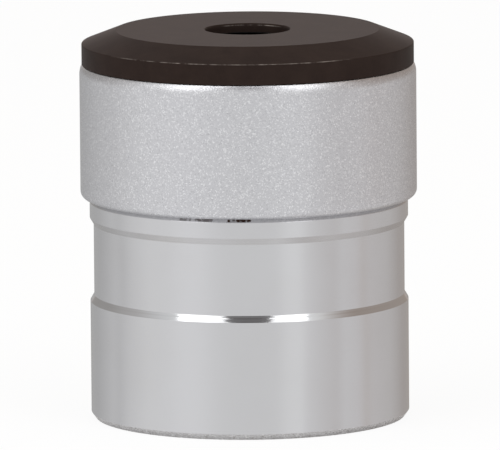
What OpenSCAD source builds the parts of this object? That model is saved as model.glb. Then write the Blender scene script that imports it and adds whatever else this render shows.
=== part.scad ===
// Telescope eyepiece for a 1.25 inch drawtube.
// A symmetrical group of two cemented doublets sits in a blackened cell. The cell screws into a
// satin body, which is closed by a black eye cap above and carried by a turned nose barrel below.
// Millimetres. Z is the optical axis, up towards the eye, and the nose stands on Z = 0.

/* [Nose barrel] */
// Outside diameter that slides into the drawtube
nose_d = 31.75; // [31:0.05:32.5]
// Length from the bottom face to the shoulder under the body
nose_len = 22.1; // [20:0.1:28]
// Length of the land below the undercut, from the bottom face
land_len = 11.75; // [9:0.05:14]
// Length of the collar between the undercut and the body
collar_len = 1.95; // [1.5:0.05:3]
// Depth of the safety undercut below the nose diameter
undercut_depth = 0.385; // [0.2:0.005:0.6]
// Height of the bevel at each end of the undercut
bevel_h = 0.65; // [0.4:0.05:1]
// Width of the chamfer round the bottom face
foot_chamfer_w = 0.45; // [0.2:0.05:0.7]
// Height of the chamfer round the bottom face
foot_chamfer_h = 0.6; // [0.3:0.05:1]
// Edge break at the top of the collar
collar_break = 0.35; // [0.1:0.05:0.5]
// Wall of the barrel at the undercut
nose_wall = 1.8; // [1.7:0.05:2.4]
// Height of the threaded spigot that enters the body
spigot_len = 4; // [3:0.1:5]
// Wall of the spigot inside the root of its thread
spigot_wall = 0.9; // [0.6:0.05:1.2]

/* [Filter thread] */
// Wall outside the root of the filter thread, which leaves M28.5 in a 31.75 barrel
filter_wall = 1.625; // [1.5:0.025:1.65]
// Pitch of the filter thread
filter_pitch = 0.6; // [0.5:0.05:0.75]
// Length of the filter thread
filter_len = 4.2; // [3:0.1:5.5]
// Pitch of the glare grooves in the bore above it
glare_pitch = 0.8; // [0.6:0.05:1.2]
// Depth of the glare grooves
glare_depth = 0.25; // [0.1:0.05:0.4]

/* [Body] */
// Outside diameter of the satin body
body_d = 33.55; // [33.3:0.05:35]
// Length of the satin body
body_len = 13.4; // [12:0.1:20]
// Wall of the body at its two threaded ends
body_wall = 2; // [1.8:0.05:2.2]
// Radius round the bottom edge
body_low_round = 0.95; // [0.3:0.05:1]
// Radius round the top edge
body_top_round = 0.45; // [0.1:0.05:0.6]

/* [Eye cap] */
// How far the rim stands back from the side of the body
cap_inset = 0.225; // [0.1:0.025:0.8]
// Height of the rim
rim_h = 2.05; // [1.2:0.05:4]
// Height of the cone above the rim
cone_h = 1.33; // [0.8:0.01:3]
// Diameter of the flat top
cap_top_d = 26.3; // [24:0.1:28]
// Diameter of the eye hole
eye_hole_d = 8.35; // [6:0.05:9]
// Straight length of the eye hole
eye_hole_land = 0.4; // [0.2:0.05:0.7]
// Thickness of the plate round the eye hole
plate_t = 1; // [0.8:0.05:1.4]
// Wall of the threaded skirt
skirt_wall = 1.6; // [1.2:0.05:2.2]
// Length of the threaded skirt that enters the body
skirt_len = 3.6; // [2.5:0.1:4.5]
// Edge break on the rim, the cone and the eye hole
cap_break = 0.08; // [0.02:0.01:0.15]

/* [Lenses] */
// Diameter of the four lenses
lens_d = 10; // [9:0.1:11]
// Radius of the crown faces that look at each other
crown_r = 8.6; // [7:0.1:12]
// Radius of the cemented faces
cement_r = 12.3; // [10:0.1:16]
// Thickness of a crown lens at its edge
crown_edge = 0.7; // [0.4:0.05:1.5]
// Thickness of a flint lens at its centre
flint_t = 1.2; // [0.8:0.05:2]
// Air gap between the two doublets on the axis
air_gap = 0.4; // [0.2:0.05:1]
// Thickness of the cement in a doublet
cement_t = 0.02; // [0.01:0.005:0.04]
// Bevel on the outer edge of a lens
lens_bevel = 0.15; // [0.05:0.05:0.3]
// Wall of the spacer between the doublets
spacer_wall = 0.5; // [0.3:0.05:0.8]
// Distance from the lower lens to the field stop, which is the front focal distance
stop_distance = 6.93; // [5:0.01:8]

/* [Lens cell] */
// Wall of the cell round the lenses
cell_wall = 1.7; // [1.5:0.05:2.2]
// Thickness of the lip that the top lens seats on
lip_t = 0.8; // [0.5:0.05:1.2]
// Width of the lip
lip_w = 0.7; // [0.4:0.05:1]
// Gap between the lip and the plate of the eye cap
cell_gap = 0.5; // [0.2:0.05:1.5]
// Width of the flange outside the cell
flange_w = 2.3; // [1.5:0.1:3.5]
// Thickness of the flange
flange_t = 1.5; // [1:0.1:2]
// Step from the lens bore to the threaded bore below it
tail_step = 0.45; // [0.35:0.05:0.6]
// Length of the cell below the field stop
tail_lip = 0.4; // [0.2:0.05:1]

/* [Rings] */
// Thickness of the retaining ring
ring_t = 2; // [1.5:0.1:3]
// Wall of the retaining ring
ring_wall = 1; // [0.7:0.05:1.4]
// Thickness of the field stop
stop_t = 1.4; // [1:0.1:2]
// Width of the field stop, from the tip of its thread to its opening
stop_w = 1.1; // [0.9:0.05:1.6]
// Width of the countersink under the field stop's edge
stop_sink_w = 0.5; // [0.3:0.05:0.6]
// Height of the field stop's edge
stop_edge_h = 0.08; // [0.05:0.01:0.2]
// Width of the spanner slots
slot_w = 1; // [0.6:0.05:1.4]
// Depth of the spanner slots
slot_depth = 0.7; // [0.4:0.05:0.9]
// Length of a spanner slot in the flange of the cell
flange_slot_len = 1.6; // [1:0.1:2.2]

/* [Fits] */
// Pitch of the threads at the two ends of the body
joint_pitch = 0.75; // [0.5:0.05:0.8]
// Pitch of the threads on the cell and its rings
cell_pitch = 0.5; // [0.4:0.05:0.6]
// Radial clearance of a thread
thread_clear = 0.08; // [0.05:0.01:0.12]
// Radial clearance of a lens in the cell
lens_clear = 0.03; // [0.02:0.01:0.06]
// Clearance between the spacer and a crown face
spacer_clear = 0.02; // [0.01:0.005:0.05]
// Clear length past the end of a thread
relief_len = 0.6; // [0.4:0.05:0.9]
// Chamfer at the start of a thread
lead_in = 0.4; // [0.2:0.05:0.5]

/* [Hidden] */
$fn = 128;

// Steps in a rounded edge
round_steps = 8;
// Extra length of a cutting tool past the face it cuts
past = 1;
// Sixty degree thread form: share of its depth, then of its pitch
thread_form = [[0, 1 / 8], [1, 7 / 16], [1, 9 / 16], [0, 7 / 8]];
// Depth of that form for each millimetre of pitch
thread_form_depth = 0.5413;
// Share of a turn that a thread may be short of, and still have that turn
turn_slack = 0.01;

// Heights along the axis
bevel_top_z = land_len + bevel_h;
collar_z = nose_len - collar_len;
spigot_z = nose_len + spigot_len;
web_low_z = spigot_z + relief_len;
body_top_z = nose_len + body_len;
skirt_z = body_top_z - skirt_len;
web_high_z = skirt_z - relief_len;
rim_z = body_top_z + rim_h;
cap_top_z = rim_z + cone_h;
cell_top_z = cap_top_z - plate_t - cell_gap;
lens_top_z = cell_top_z - lip_t;

// Radii about the axis
nose_r = nose_d / 2;
undercut_r = nose_r - undercut_depth;
bore_r = undercut_r - nose_wall;
joint_depth = thread_form_depth * joint_pitch;
body_r = body_d / 2;
joint_r = body_r - body_wall;
spigot_r = joint_r - thread_clear;
// The spigot's bore shades the glare grooves, so it is narrower by their depth at least
spigot_bore_r = min(bore_r - glare_depth, spigot_r - joint_depth - spigot_wall);
cap_r = body_r - cap_inset;
filter_depth = thread_form_depth * filter_pitch;
filter_r = nose_r - filter_wall - filter_depth;
skirt_r = spigot_r - skirt_wall;
cell_depth = thread_form_depth * cell_pitch;
lens_r = lens_d / 2;
lens_bore_r = lens_r + lens_clear;
cell_r = lens_bore_r + cell_wall;
flange_r = cell_r + flange_w;
web_r = cell_r + thread_clear;
tail_r = lens_bore_r + tail_step;
ring_r = tail_r - thread_clear;
eye_hole_r = eye_hole_d / 2;
stop_hole_r = ring_r - stop_w;

// Lens stack, from its top face down
cement_sag = sag(cement_r, lens_r);
crown_t = crown_edge + cement_sag + sag(crown_r, lens_r);
doublet_t = flint_t + crown_t;
lens_mid_z = lens_top_z - doublet_t - air_gap / 2;
lens_low_z = lens_mid_z - air_gap / 2 - doublet_t;
stop_z = lens_low_z - stop_distance;
cell_low_z = stop_z - stop_t - tail_lip;

// Height of a spherical cap of radius ball over a circle of radius r
function sag(ball, r) = ball - sqrt(ball * ball - r * r);

function reversed(points) = [for (i = [len(points) - 1 : -1 : 0]) points[i]];

// Points of an arc, from one angle to another
function arc(x, z, r, from, to) = [
    for (i = [0 : round_steps])
        let (angle = from + (to - from) * i / round_steps)
        [x + r * cos(angle), z + r * sin(angle)]
];

// Points of a ringed thread from low to high: its crests at r and its roots at r + depth
function ringed(r, depth, pitch, low, high) = [
    for (turn = [0 : floor((high - low) / pitch + turn_slack) - 1])
        for (p = thread_form)
            [r + p[0] * depth, low + (turn + p[1]) * pitch]
];

// Solid of revolution about the optical axis
module turned(outline) {
    rotate_extrude() polygon(outline);
}

// Two spanner slots across a diameter, open below z
module spanner_slots(r, z) {
    translate([-r - past, -slot_w / 2, z - past])
        cube([2 * (r + past), slot_w, slot_depth + past]);
}

// Male thread on a spigot that ends at one height and starts from a shoulder at another
function spigot_thread(low, high) = ringed(spigot_r, -joint_depth, joint_pitch, low, high);

// Female thread in an end of the body
function joint_thread(low, high) = ringed(joint_r, joint_depth, joint_pitch, low, high);

module nose_barrel() {
    filter_top = lead_in + filter_len;
    glare_low = filter_top + relief_len;
    glare_high = nose_len - relief_len - (bore_r - spigot_bore_r);
    outside = [
        [filter_r + lead_in, 0],
        [nose_r - foot_chamfer_w, 0],
        [nose_r, foot_chamfer_h],
        [nose_r, land_len],
        [undercut_r, bevel_top_z],
        [undercut_r, collar_z - bevel_h],
        [nose_r, collar_z],
        [nose_r, nose_len - collar_break],
        [nose_r - collar_break, nose_len]
    ];
    spigot = concat(
        [[spigot_r - joint_depth, nose_len], [spigot_r - joint_depth, nose_len + relief_len]],
        spigot_thread(nose_len + relief_len, spigot_z - lead_in),
        [[spigot_r, spigot_z - lead_in], [spigot_r - lead_in, spigot_z]]
    );
    bore = concat(
        [[spigot_bore_r, spigot_z], [spigot_bore_r, nose_len - relief_len], [bore_r, glare_high]],
        reversed(ringed(bore_r, glare_depth, glare_pitch, glare_low, glare_high)),
        [[bore_r, filter_top + (filter_r - bore_r)], [filter_r, filter_top]],
        reversed(ringed(filter_r, filter_depth, filter_pitch, lead_in, filter_top)),
        [[filter_r, lead_in]]
    );
    color("silver") turned(concat(outside, spigot, bore));
}

module upper_body() {
    outside = concat(
        [[joint_r + lead_in, nose_len]],
        arc(body_r - body_low_round, nose_len + body_low_round, body_low_round, -90, 0),
        arc(body_r - body_top_round, body_top_z - body_top_round, body_top_round, 0, 90)
    );
    cap_socket = concat(
        [[joint_r + lead_in, body_top_z], [joint_r, body_top_z - lead_in]],
        reversed(joint_thread(skirt_z, body_top_z - lead_in)),
        [[joint_r + joint_depth, skirt_z], [joint_r + joint_depth, web_high_z]]
    );
    web_bore = concat(
        [[web_r + lead_in, web_high_z], [web_r, web_high_z - lead_in]],
        reversed(ringed(web_r, cell_depth, cell_pitch, web_low_z + lead_in, web_high_z - lead_in)),
        [[web_r, web_low_z + lead_in], [web_r + lead_in, web_low_z]]
    );
    nose_socket = concat(
        [[joint_r + joint_depth, web_low_z], [joint_r + joint_depth, spigot_z]],
        reversed(joint_thread(nose_len + lead_in, spigot_z)),
        [[joint_r, nose_len + lead_in]]
    );
    color("lightgray") turned(concat(outside, cap_socket, web_bore, nose_socket));
}

module eye_cap() {
    top_r = cap_top_d / 2;
    plate_z = cap_top_z - plate_t;
    skirt = concat(
        [[skirt_r, skirt_z], [spigot_r - lead_in, skirt_z], [spigot_r, skirt_z + lead_in]],
        spigot_thread(skirt_z + lead_in, body_top_z - relief_len),
        [[spigot_r - joint_depth, body_top_z - relief_len], [spigot_r - joint_depth, body_top_z]]
    );
    rim = [
        [cap_r - cap_break, body_top_z],
        [cap_r, body_top_z + cap_break],
        [cap_r, rim_z - cap_break],
        [cap_r - cap_break, rim_z],
        [top_r + cap_break, cap_top_z - cap_break / 2],
        [top_r - cap_break, cap_top_z]
    ];
    eye_hole = [
        [eye_hole_r + cap_break, cap_top_z],
        [eye_hole_r, cap_top_z - cap_break],
        [eye_hole_r, cap_top_z - eye_hole_land],
        [eye_hole_r + plate_t - eye_hole_land, plate_z]
    ];
    inside = [
        [skirt_r - cone_h, plate_z],
        [skirt_r, plate_z - cone_h]
    ];
    color("#2b2625") turned(concat(skirt, rim, eye_hole, inside));
}

module lens_cell() {
    thread_low = web_low_z + relief_len;
    tail_top = lens_low_z + relief_len;
    outside = concat(
        [
            [cell_r, cell_low_z],
            [cell_r, web_low_z - flange_t],
            [flange_r, web_low_z - flange_t],
            [flange_r, web_low_z],
            [cell_r - cell_depth, web_low_z],
            [cell_r - cell_depth, thread_low]
        ],
        ringed(cell_r, -cell_depth, cell_pitch, thread_low, web_high_z),
        [
            [cell_r - cell_depth, web_high_z],
            [cell_r - cell_depth, cell_top_z - lead_in],
            [cell_r - cell_depth - lead_in, cell_top_z]
        ]
    );
    inside = concat(
        [
            [lens_bore_r - lip_w + lip_t, cell_top_z],
            [lens_bore_r - lip_w, lens_top_z],
            [lens_bore_r, lens_top_z],
            [lens_bore_r, tail_top + tail_step],
            [tail_r, tail_top]
        ],
        reversed(ringed(tail_r, cell_depth, cell_pitch, cell_low_z + tail_lip, tail_top)),
        [[tail_r, cell_low_z + tail_lip], [tail_r + tail_lip, cell_low_z]]
    );
    color("#1c1c1e") difference() {
        turned(concat(outside, inside));
        flange_slots();
    }
}

// Two spanner slots in the underside of the cell's flange, open at its edge
module flange_slots() {
    for (side = [0, 180])
        rotate([0, 0, side])
            translate([flange_r - flange_slot_len, -slot_w / 2, web_low_z - flange_t - past])
                cube([flange_slot_len + past, slot_w, slot_depth + past]);
}

// Blank of a lens: a cylinder with one edge bevelled, its flat face at z = 0 and its body below
module lens_blank(depth) {
    turned([
        [0, -depth],
        [lens_r, -depth],
        [lens_r, -lens_bevel],
        [lens_r - lens_bevel, 0],
        [0, 0]
    ]);
}

// Outer lens of a doublet: flat above, hollow below
module flint_lens() {
    difference() {
        lens_blank(flint_t + cement_sag + past);
        translate([0, 0, -flint_t - cement_r]) sphere(cement_r + cement_t);
    }
}

// Inner lens of a doublet: bulged on both faces
module crown_lens() {
    intersection() {
        translate([0, 0, -flint_t]) cylinder(h = 2 * crown_t, r = lens_r, center = true);
        translate([0, 0, -flint_t - cement_r]) sphere(cement_r);
        translate([0, 0, crown_r - doublet_t]) sphere(crown_r);
    }
}

// Puts a lens of the upper doublet in its place
module at_eye() {
    translate([0, 0, lens_top_z]) children();
}

// Puts a lens of the lower doublet in its place, as the upper doublet's mirror image
module at_field() {
    translate([0, 0, lens_low_z]) mirror([0, 0, 1]) children();
}

module eye_flint_lens() {
    color("#cfe3dd") at_eye() flint_lens();
}

module eye_crown_lens() {
    color("#dcebf0") at_eye() crown_lens();
}

module field_crown_lens() {
    color("#dcebf0") at_field() crown_lens();
}

module field_flint_lens() {
    color("#cfe3dd") at_field() flint_lens();
}

// Ring whose inner edges meet the two crown faces
module lens_spacer() {
    inner_r = lens_r - spacer_wall;
    half_h = air_gap / 2 + sag(crown_r, inner_r) - spacer_clear;
    color("#1c1c1e") turned([
        [inner_r, lens_mid_z - half_h],
        [lens_r, lens_mid_z - half_h],
        [lens_r, lens_mid_z + half_h],
        [inner_r, lens_mid_z + half_h]
    ]);
}

// Threaded ring that presses the lens stack against the lip
module retaining_ring() {
    low = lens_low_z - ring_t;
    thread = ringed(ring_r, -cell_depth, cell_pitch, low, lens_low_z);
    color("#1c1c1e") difference() {
        turned(concat(
            [[ring_r - ring_wall, low], [ring_r - cell_depth, low]],
            thread,
            [[ring_r - cell_depth, lens_low_z], [ring_r - ring_wall, lens_low_z]]
        ));
        spanner_slots(ring_r, low);
    }
}

// Threaded diaphragm whose sharp upper edge bounds the field of view
module field_stop() {
    low = stop_z - stop_t;
    thread = ringed(ring_r, -cell_depth, cell_pitch, low, stop_z);
    color("#1c1c1e") difference() {
        turned(concat(
            [[stop_hole_r + stop_sink_w, low], [ring_r - cell_depth, low]],
            thread,
            [
                [ring_r - cell_depth, stop_z],
                [stop_hole_r, stop_z],
                [stop_hole_r, stop_z - stop_edge_h]
            ]
        ));
        spanner_slots(ring_r, low);
    }
}

nose_barrel();
upper_body();
eye_cap();
lens_cell();
eye_flint_lens();
eye_crown_lens();
lens_spacer();
field_crown_lens();
field_flint_lens();
retaining_ring();
field_stop();
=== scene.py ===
"""Looks of a telescope eyepiece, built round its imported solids.

Every piece is turned about the optical axis, Z, as the real ones are on a lathe. An outline of
corners goes round the axis, with its edges broken, its threads cut and a skin for each stretch.
Sizes are in millimetres until a mesh is made, and a piece takes its overall sizes from the solid
that it stands for.
"""

import logging
import math
from abc import ABC, abstractmethod
from dataclasses import dataclass
from enum import Enum
from typing import Any, ClassVar

import bmesh
import bpy
import numpy as np
from bpy.types import Material, Mesh, Node, NodeSocket, NodeTree, Object
from mathutils import Matrix, Vector


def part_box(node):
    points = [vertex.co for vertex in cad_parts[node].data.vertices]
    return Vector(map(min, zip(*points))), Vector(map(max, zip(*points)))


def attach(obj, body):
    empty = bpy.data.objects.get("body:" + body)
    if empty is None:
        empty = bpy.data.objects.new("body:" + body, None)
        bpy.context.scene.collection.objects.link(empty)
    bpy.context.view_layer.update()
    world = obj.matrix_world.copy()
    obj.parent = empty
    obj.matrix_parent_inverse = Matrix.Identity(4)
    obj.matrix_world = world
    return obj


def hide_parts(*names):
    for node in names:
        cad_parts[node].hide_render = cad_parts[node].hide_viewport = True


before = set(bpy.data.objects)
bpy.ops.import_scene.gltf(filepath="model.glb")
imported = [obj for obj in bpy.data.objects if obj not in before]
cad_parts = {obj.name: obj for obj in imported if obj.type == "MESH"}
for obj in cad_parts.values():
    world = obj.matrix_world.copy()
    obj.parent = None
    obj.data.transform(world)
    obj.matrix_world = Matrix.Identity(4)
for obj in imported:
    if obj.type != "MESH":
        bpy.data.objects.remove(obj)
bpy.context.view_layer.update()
LOG = logging.getLogger("eyepiece")

# Metres in a millimetre
MM = 0.001
AXIS_R = 1e-6
# Turn below which a corner of an outline counts as straight, in degrees
STRAIGHT_TURN = 1.0
# Turn of one facet on a broken edge, in degrees
FACET_TURN = 11.0
# Share of a stretch of outline that one broken edge may take up
EDGE_SHARE = 0.45
# Turn between two faces above which the edge between them shades as a crease, in degrees
CREASE_TURN = 40.0
# Rows of vertices in one pitch of a thread
THREAD_ROWS = 10
# How far a cutter stands clear of the piece that it cuts
CUTTER_CLEAR = 1.0
# Refractive indices of the two glasses
FLINT_IOR, CROWN_IOR = 1.673, 1.517
# Thickness of the lens coating in nanometres, a quarter of yellow light's wave in it
COATING = 105.0


class Skin(Enum):
    """Finish on one stretch of a turned outline."""

    TURNED_CHROME = "turned chrome"
    BRIGHT_CHROME = "bright chrome"
    DULL_SHADED_CHROME = "dull chrome"
    ROUGH_CHROME = "rough chrome"
    BLASTED_ALUMINIUM = "blasted aluminium"
    MACHINED_ALUMINIUM = "machined aluminium"
    BLACK_ANODISED = "black anodised aluminium"
    MATT_BLACK = "matt black paint"
    FLINT_GLASS = "coated flint glass"
    CROWN_GLASS = "coated crown glass"
    FLINT_CEMENT = "cemented flint face"
    CROWN_CEMENT = "cemented crown face"
    INKED_EDGE = "inked lens edge"


def linear(colour: str) -> tuple[float, float, float, float]:
    """Turns an sRGB colour into linear light.

    Args:
        colour: A hash and six hex digits.

    Returns:
        Red, green, blue and an alpha of 1.
    """
    shares = [int(colour[at:at + 2], 16) / 255 for at in (1, 3, 5)]
    red, green, blue = (s / 12.92 if s <= 0.04045 else ((s + 0.055) / 1.055) ** 2.4 for s in shares)
    return red, green, blue, 1.0


def add_node(
    tree: NodeTree, kind: str, inputs: dict[str | int, Any] | None = None, **settings: Any
) -> Node:
    """Adds a node to a tree, sets it up and links it.

    Args:
        tree: Node tree of a material or of the world.
        kind: Blender's type name of the node.
        inputs: Value or output socket for each named or numbered input.
        settings: Values of the node's own properties.

    Returns:
        The node.
    """
    node = tree.nodes.new(kind)
    for name, value in settings.items():
        setattr(node, name, value)
    for name, value in (inputs or {}).items():
        if isinstance(value, NodeSocket):
            tree.links.new(value, node.inputs[name])
        else:
            node.inputs[name].default_value = value
    return node


def azimuth_of(tree: NodeTree, axes: Node) -> NodeSocket:
    """Works out how far round the axis a point is.

    Args:
        tree: Node tree to add to.
        axes: Node that gives the point's coordinates.

    Returns:
        Azimuth in radians, 0 at the front and positive to the right.
    """
    ahead = add_node(tree, "ShaderNodeMath", {0: axes.outputs["Y"], 1: -1.0}, operation="MULTIPLY")
    return add_node(
        tree, "ShaderNodeMath", {0: axes.outputs["X"], 1: ahead.outputs["Value"]}, operation="ARCTAN2"
    ).outputs["Value"]


@dataclass(frozen=True)
class Patches:
    """Uneven cover of a surface, in patches of one size.

    Attributes:
        size: Size of a patch.
        low: Level of the noise below which a place is bare.
        high: Level above which it is covered.
        detail: Steps of finer breaks in a patch.
        breaks: Strength of each step against the one before.
    """

    size: float
    low: float
    high: float
    detail: float
    breaks: float = 0.5

    def cover(self, tree: NodeTree, place: NodeSocket, most: float = 1.0) -> NodeSocket:
        """Gives the cover at a point.

        Args:
            tree: The material's nodes.
            place: Point on the surface.
            most: Cover in the middle of a patch.

        Returns:
            Cover from 0 to the most.
        """
        level = add_node(
            tree, "ShaderNodeTexNoise",
            {"Vector": place, "Scale": 1 / (self.size * MM), "Detail": self.detail, "Roughness": self.breaks},
        ).outputs["Fac"]
        return add_node(
            tree, "ShaderNodeMapRange",
            {"Value": level, "From Min": self.low, "From Max": self.high, "To Max": most},
        ).outputs["Result"]


@dataclass(frozen=True)
class Finish:
    """Even finish of one material; a kind of finish adds the pattern that its making leaves, and some also
    paint light or shade.

    Attributes:
        name: Name of the material.
        colour: sRGB base colour.
        roughness: Roughness of the shader.
        metallic: 1 for bare metal and 0 for the rest.
    """

    name: str
    colour: str
    roughness: float
    metallic: float = 0.0

    # Levels of noise between which nearly all of a grain lies
    GRAIN: ClassVar[tuple[float, float]] = (0.3, 0.7)

    def sockets(self) -> dict[str, Any]:
        """Gives the shader's even values, by socket name."""
        return {
            "Base Color": linear(self.colour),
            "Roughness": self.roughness,
            "Metallic": self.metallic,
        }

    def build(self) -> Material:
        """Makes the material.

        Returns:
            The material, with its pattern.
        """
        material = bpy.data.materials.new(self.name)
        material.use_nodes = True
        tree = material.node_tree
        shader = tree.nodes["Principled BSDF"]
        for name, value in self.sockets().items():
            shader.inputs[name].default_value = value
        self.pattern(tree, shader)
        return material

    def pattern(self, tree: NodeTree, shader: Node) -> None:
        """Leaves the surface even."""

    def etch(
        self, tree: NodeTree, shader: Node, grain: NodeSocket, depth: float, swing: float = 0.0
    ) -> None:
        """Works a grain into the surface, as relief and as uneven roughness.

        Args:
            tree: The material's nodes.
            shader: Its shader.
            grain: Level of the grain.
            depth: Depth of the relief.
            swing: How far the roughness goes up and down with the grain.
        """
        relief = add_node(tree, "ShaderNodeBump", {"Height": grain, "Distance": depth * MM, "Strength": 1.0})
        tree.links.new(relief.outputs["Normal"], shader.inputs["Normal"])
        if swing:
            least, most = self.GRAIN
            rough = add_node(
                tree, "ShaderNodeMapRange",
                {"Value": grain, "From Min": least, "From Max": most,
                 "To Min": self.roughness - swing, "To Max": self.roughness + swing},
            )
            tree.links.new(rough.outputs["Result"], shader.inputs["Roughness"])


@dataclass(frozen=True)
class TurnedMetal(Finish):
    """Metal as the lathe's tool leaves it: fine rings that draw every reflection out along the axis.

    Attributes:
        ring_pitch: Spacing of the tool's rings.
        ring_depth: Depth of the rings.
        roughness_swing: How far the roughness goes up and down from ring to ring.
        anisotropy: How far a reflection is drawn out along the axis.
        film: sRGB colour of the faint film that handling leaves.
        film_at: Patches of that film.
        film_cover: Share of the film's colour where a patch is thickest.
        crease_shade: sRGB colour of the shade painted in the crease under the shoulder.
        crease_shade_z: Lowest and highest height of that painted shade, the same where there is none.
        crease_shade_all_round: Share of the shade's colour all the way round.
        crease_shade_smears: Azimuth and half the width of each darker smear in the shade, in degrees, and its
            share.
        crease_shade_breaks: What is left of a smear where it is broken.
    """

    ring_pitch: float = 0.12
    ring_depth: float = 0.0003
    roughness_swing: float = 0.02
    anisotropy: float = 0.0
    film: str = "#a39b94"
    film_at: Patches = Patches(7.0, 0.45, 0.75, 4.0)
    film_cover: float = 0.2
    # Shade painted in the crease under the body's shoulder: a dark band with darker smears at the front
    crease_shade: str = "#3d2b25"
    crease_shade_z: tuple[float, float] = (0.0, 0.0)
    crease_shade_all_round: float = 0.08
    crease_shade_smears: tuple[tuple[float, float, float], ...] = (
        (-23.5, 2.2, 0.6), (-16.5, 3.4, 0.75), (-3.5, 4.2, 1.0)
    )
    crease_shade_breaks: Patches = Patches(0.4, 0.34, 0.5, 3.0, 0.6)

    # Share of a full turn from the tangent, which goes round the axis, to the axis
    ALONG_AXIS: ClassVar[float] = 0.25
    # Steps of finer rings between the tool's rings
    RING_DETAIL: ClassVar[float] = 1.0

    def sockets(self) -> dict[str, Any]:
        """Adds the anisotropy, which draws reflections out across the rings."""
        return super().sockets() | {"Anisotropic": self.anisotropy, "Anisotropic Rotation": self.ALONG_AXIS}

    def pattern(self, tree: NodeTree, shader: Node) -> None:
        """Adds the rings, the film and the shade painted in the crease under the shoulder.

        Args:
            tree: The material's nodes.
            shader: Its shader.
        """
        place = add_node(tree, "ShaderNodeTexCoord").outputs["Object"]
        axes = add_node(tree, "ShaderNodeSeparateXYZ", {"Vector": place})
        rings = add_node(
            tree, "ShaderNodeTexNoise", noise_dimensions="1D",
            inputs={"W": axes.outputs["Z"], "Scale": 1 / (self.ring_pitch * MM), "Detail": self.RING_DETAIL},
        ).outputs["Fac"]
        self.etch(tree, shader, rings, self.ring_depth, self.roughness_swing)
        along = add_node(tree, "ShaderNodeTangent", direction_type="RADIAL", axis="Z")
        tree.links.new(along.outputs["Tangent"], shader.inputs["Tangent"])
        film = self.film_at.cover(tree, place, self.film_cover)
        colour = add_node(
            tree, "ShaderNodeMix", data_type="RGBA",
            inputs={0: film, 6: linear(self.colour), 7: linear(self.film)},
        ).outputs[2]
        # Paints shade in the crease under the shoulder
        if self.crease_shade_z[1] > self.crease_shade_z[0]:
            colour = self.paint_crease_shade(tree, place, axes, colour)
        tree.links.new(colour, shader.inputs["Base Color"])

    def paint_crease_shade(self, tree: NodeTree, place: NodeSocket, axes: Node, colour: NodeSocket) -> NodeSocket:
        """Paints shade in the crease between two heights, a thin band all the way round with darker smears in
        it.

        Args:
            tree: The material's nodes.
            place: Point on the surface.
            axes: Node that gives the point's coordinates.
            colour: Colour without the painted shade.

        Returns:
            Colour with the painted shade.
        """
        turn = azimuth_of(tree, axes)
        smears: NodeSocket | float = 0.0
        for azimuth, half, share in self.crease_shade_smears:
            smear = add_node(
                tree, "ShaderNodeMath", {0: turn, 1: math.radians(azimuth), 2: math.radians(half)},
                operation="COMPARE",
            ).outputs["Value"]
            thick = add_node(
                tree, "ShaderNodeMath", {0: smear, 1: share}, operation="MULTIPLY"
            ).outputs["Value"]
            smears = add_node(
                tree, "ShaderNodeMath", {0: smears, 1: thick}, operation="MAXIMUM"
            ).outputs["Value"]
        ragged = add_node(
            tree, "ShaderNodeMath", operation="MULTIPLY",
            inputs={0: smears, 1: self.crease_shade_breaks.cover(tree, place)},
        ).outputs["Value"]
        cover = add_node(
            tree, "ShaderNodeMath", {0: ragged, 1: self.crease_shade_all_round}, operation="MAXIMUM"
        ).outputs["Value"]
        low, high = (z * MM for z in self.crease_shade_z)
        inside = add_node(
            tree, "ShaderNodeMath", {0: axes.outputs["Z"], 1: (low + high) / 2, 2: (high - low) / 2},
            operation="COMPARE",
        ).outputs["Value"]
        share = add_node(tree, "ShaderNodeMath", {0: cover, 1: inside}, operation="MULTIPLY").outputs["Value"]
        return add_node(
            tree, "ShaderNodeMix", data_type="RGBA", inputs={0: share, 6: colour, 7: linear(self.crease_shade)}
        ).outputs[2]


@dataclass(frozen=True)
class BlastedMetal(Finish):
    """Metal that fine beads or a tearing tool left rough: tiny dimples in relief, and grains of uneven tone
    whose brightest are painted glints.

    Attributes:
        grit: Width of a dimple.
        grit_breaks: Strength of the finer dimples in a dimple.
        dimple_depth: Depth of a dimple.
        roughness_swing: How far the roughness goes up and down from grain to grain.
        pit: sRGB colour of the darkest grains.
        pit_share: Share of the grains that are darker than the rest.
        painted_glint: sRGB colour of the brightest grains, painted glints.
        painted_glint_share: Share of the grains that are brighter than the rest.
    """

    grit: float = 0.105
    grit_breaks: float = 0.6
    dimple_depth: float = 0.016
    roughness_swing: float = 0.06
    pit: str = "#bbbbbe"
    pit_share: float = 0.12
    painted_glint: str = "#e8e8ea"
    painted_glint_share: float = 0.25

    def pattern(self, tree: NodeTree, shader: Node) -> None:
        """Adds the dimples, and the grains' tones, whose brightest are painted glints.

        Args:
            tree: The material's nodes.
            shader: Its shader.
        """
        place = add_node(tree, "ShaderNodeTexCoord").outputs["Object"]
        # Real bead dimples are about 0.05 mm wide, too fine for the picture, so they are wider
        dimples = add_node(
            tree, "ShaderNodeTexNoise",
            {"Vector": place, "Scale": 1 / (self.grit * MM), "Roughness": self.grit_breaks},
        ).outputs["Fac"]
        self.etch(tree, shader, dimples, self.dimple_depth, self.roughness_swing)
        grains = add_node(
            tree, "ShaderNodeTexVoronoi", {"Vector": place, "Scale": 1 / (self.grit * MM)}
        ).outputs["Color"]
        chance = add_node(tree, "ShaderNodeSeparateColor", {"Color": grains}).outputs["Red"]
        # The brightest grains' colour paints glints
        tones = add_node(tree, "ShaderNodeValToRGB", {"Fac": chance})
        stops = tones.color_ramp.elements
        for place_in_ramp in (self.pit_share, 1 - self.painted_glint_share):
            stops.new(place_in_ramp)
        for stop, colour in zip(stops, (self.pit, self.colour, self.colour, self.painted_glint)):
            stop.color = linear(colour)
        tree.links.new(tones.outputs["Color"], shader.inputs["Base Color"])


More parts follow.
